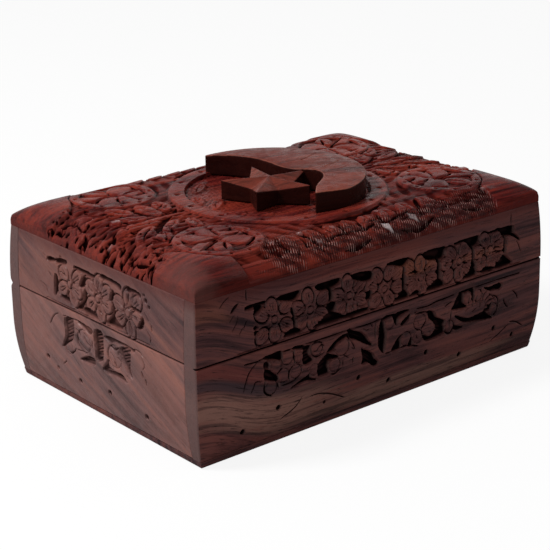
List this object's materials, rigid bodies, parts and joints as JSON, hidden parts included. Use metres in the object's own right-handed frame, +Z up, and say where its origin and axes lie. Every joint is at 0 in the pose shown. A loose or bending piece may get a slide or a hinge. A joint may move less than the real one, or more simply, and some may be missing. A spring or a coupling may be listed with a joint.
{
  "type": "keepsake box",
  "caption": "Low rectangular wooden keepsake box with a hinged, crowned lid, chip-carved floral bands and a crescent and star standing on a carved ring.",
  "frame": {"origin": "middle of the underside, on the surface the box stands on", "axes": "+X along the long front to the right, -Y out of the front, +Z up; lid closed"},
  "size_m": [0.178, 0.123, 0.0822],
  "materials": {
    "rosewood": "oiled and varnished, uneven dark streaks",
    "carved_rosewood": "hand smoothed and varnished",
    "velvet": "deep red velvet on card",
    "brass": "satin, slightly dulled",
    "steel": "bare"
  },
  "bodies": {
    "base": {"base_front_board": "rosewood", "base_back_board": "rosewood", "base_left_board": "rosewood", "base_right_board": "rosewood", "bottom_board": "rosewood", "bottom_brads": "steel", "floor_lining": "velvet", "front_lining": "velvet", "back_lining": "velvet", "left_lining": "velvet", "right_lining": "velvet", "left_hinge_base_leaf": "brass", "right_hinge_base_leaf": "brass", "left_hinge_pin": "brass", "right_hinge_pin": "brass", "base_hinge_screws": "brass"},
    "lid": {"lid_front_board": "rosewood", "lid_back_board": "rosewood", "lid_left_board": "rosewood", "lid_right_board": "rosewood", "lid_top_board": "rosewood", "lid_lining": "velvet", "crescent": "carved_rosewood", "star": "carved_rosewood", "left_hinge_lid_leaf": "brass", "right_hinge_lid_leaf": "brass", "lid_hinge_screws": "brass"}
  },
  "joints": [
    {"name": "lid_hinge", "type": "hinge", "parent": "base", "child": "lid", "pos_m": [0, 0.0597, 0.04], "axis": [-1, 0, 0], "range_deg": [0, 100]}
  ]
}
